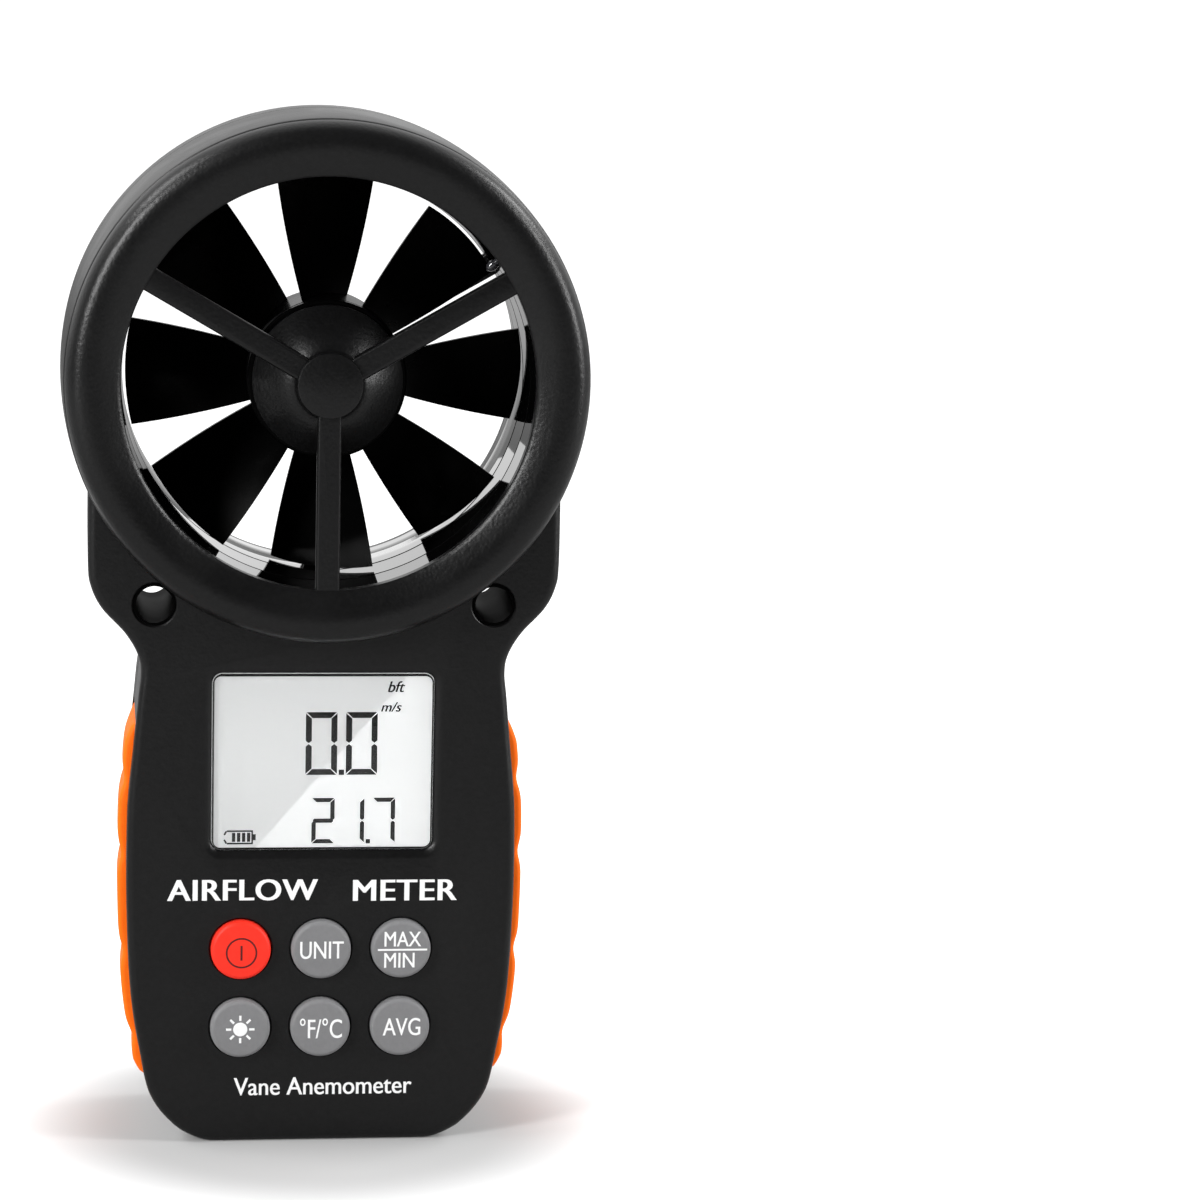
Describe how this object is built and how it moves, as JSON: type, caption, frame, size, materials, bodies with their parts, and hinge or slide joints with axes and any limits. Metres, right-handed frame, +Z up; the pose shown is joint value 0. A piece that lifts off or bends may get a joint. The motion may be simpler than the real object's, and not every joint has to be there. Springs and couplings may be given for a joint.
{
  "type": "handheld weather meter",
  "caption": "Handheld vane anemometer: a guarded wind rotor in a ring-shaped duct above a gripped handle with a display, round keys, a battery door and a tripod socket.",
  "frame": {"origin": "middle of the flat base that the meter stands on", "axes": "+Z up along the handle to the ring, -Y out of the display and the duct's front, +X to the right of the display"},
  "size_m": [0.0818, 0.038, 0.1626],
  "materials": {
    "case_black": "fine grained matt black moulding",
    "duct_gloss": "polished black",
    "rotor_gloss": "smooth black",
    "grip_orange": "soft matt elastomer",
    "brass": "turned",
    "steel": "machined",
    "board_green": "solder mask",
    "window_clear": "polished",
    "lcd_grey": "satin polariser",
    "white_plastic": "diffusing",
    "rubber_black": "matt",
    "battery_can": "printed can",
    "key_red": "satin",
    "key_grey": "satin"
  },
  "bodies": {
    "housing": {"front_shell": "case_black", "rear_shell": "case_black", "left_grip": "grip_orange", "right_grip": "grip_orange", "front_guard": "case_black", "rear_guard": "case_black", "duct_front": "duct_gloss", "duct_rear": "duct_gloss", "front_bearing": "brass", "rear_bearing": "brass", "speed_sensor": "board_green", "thermistor": "steel", "screen_window": "window_clear", "lcd_panel": "lcd_grey", "backlight": "white_plastic", "lcd_bracket": "rubber_black", "main_board": "board_green", "keypad_mat": "rubber_black", "battery": "battery_can", "battery_snap": "rubber_black", "battery_pad": "rubber_black", "tripod_insert": "brass", "screw_upper_left": "steel", "screw_upper_right": "steel", "screw_lower_left": "steel", "screw_lower_right": "steel"},
    "rotor": {"impeller": "rotor_gloss", "rotor_magnet": "steel", "rotor_shaft": "steel"},
    "power_key": {"power_key": "key_red"},
    "unit_key": {"unit_key": "key_grey"},
    "max_min_key": {"max_min_key": "key_grey"},
    "light_key": {"light_key": "key_grey"},
    "scale_key": {"scale_key": "key_grey"},
    "average_key": {"average_key": "key_grey"},
    "door": {"battery_door": "case_black"}
  },
  "joints": [
    {"name": "rotor_spin", "type": "hinge", "parent": "housing", "child": "rotor", "pos_m": [0, 0, 0.12167], "axis": [0, 1, 0], "continuous": true},
    {"name": "power_key_press", "type": "slide", "parent": "housing", "child": "power_key", "axis": [0, 1, 0], "range_m": [0, 0.0008], "stiffness_N_per_m": 500},
    {"name": "unit_key_press", "type": "slide", "parent": "housing", "child": "unit_key", "axis": [0, 1, 0], "range_m": [0, 0.0008], "stiffness_N_per_m": 500},
    {"name": "max_min_key_press", "type": "slide", "parent": "housing", "child": "max_min_key", "axis": [0, 1, 0], "range_m": [0, 0.0008], "stiffness_N_per_m": 500},
    {"name": "light_key_press", "type": "slide", "parent": "housing", "child": "light_key", "axis": [0, 1, 0], "range_m": [0, 0.0008], "stiffness_N_per_m": 500},
    {"name": "scale_key_press", "type": "slide", "parent": "housing", "child": "scale_key", "axis": [0, 1, 0], "range_m": [0, 0.0008], "stiffness_N_per_m": 500},
    {"name": "average_key_press", "type": "slide", "parent": "housing", "child": "average_key", "axis": [0, 1, 0], "range_m": [0, 0.0008], "stiffness_N_per_m": 500},
    {"name": "battery_door_slide", "type": "slide", "parent": "housing", "child": "door", "axis": [0, 0, -1], "range_m": [0, 0.058]}
  ]
}
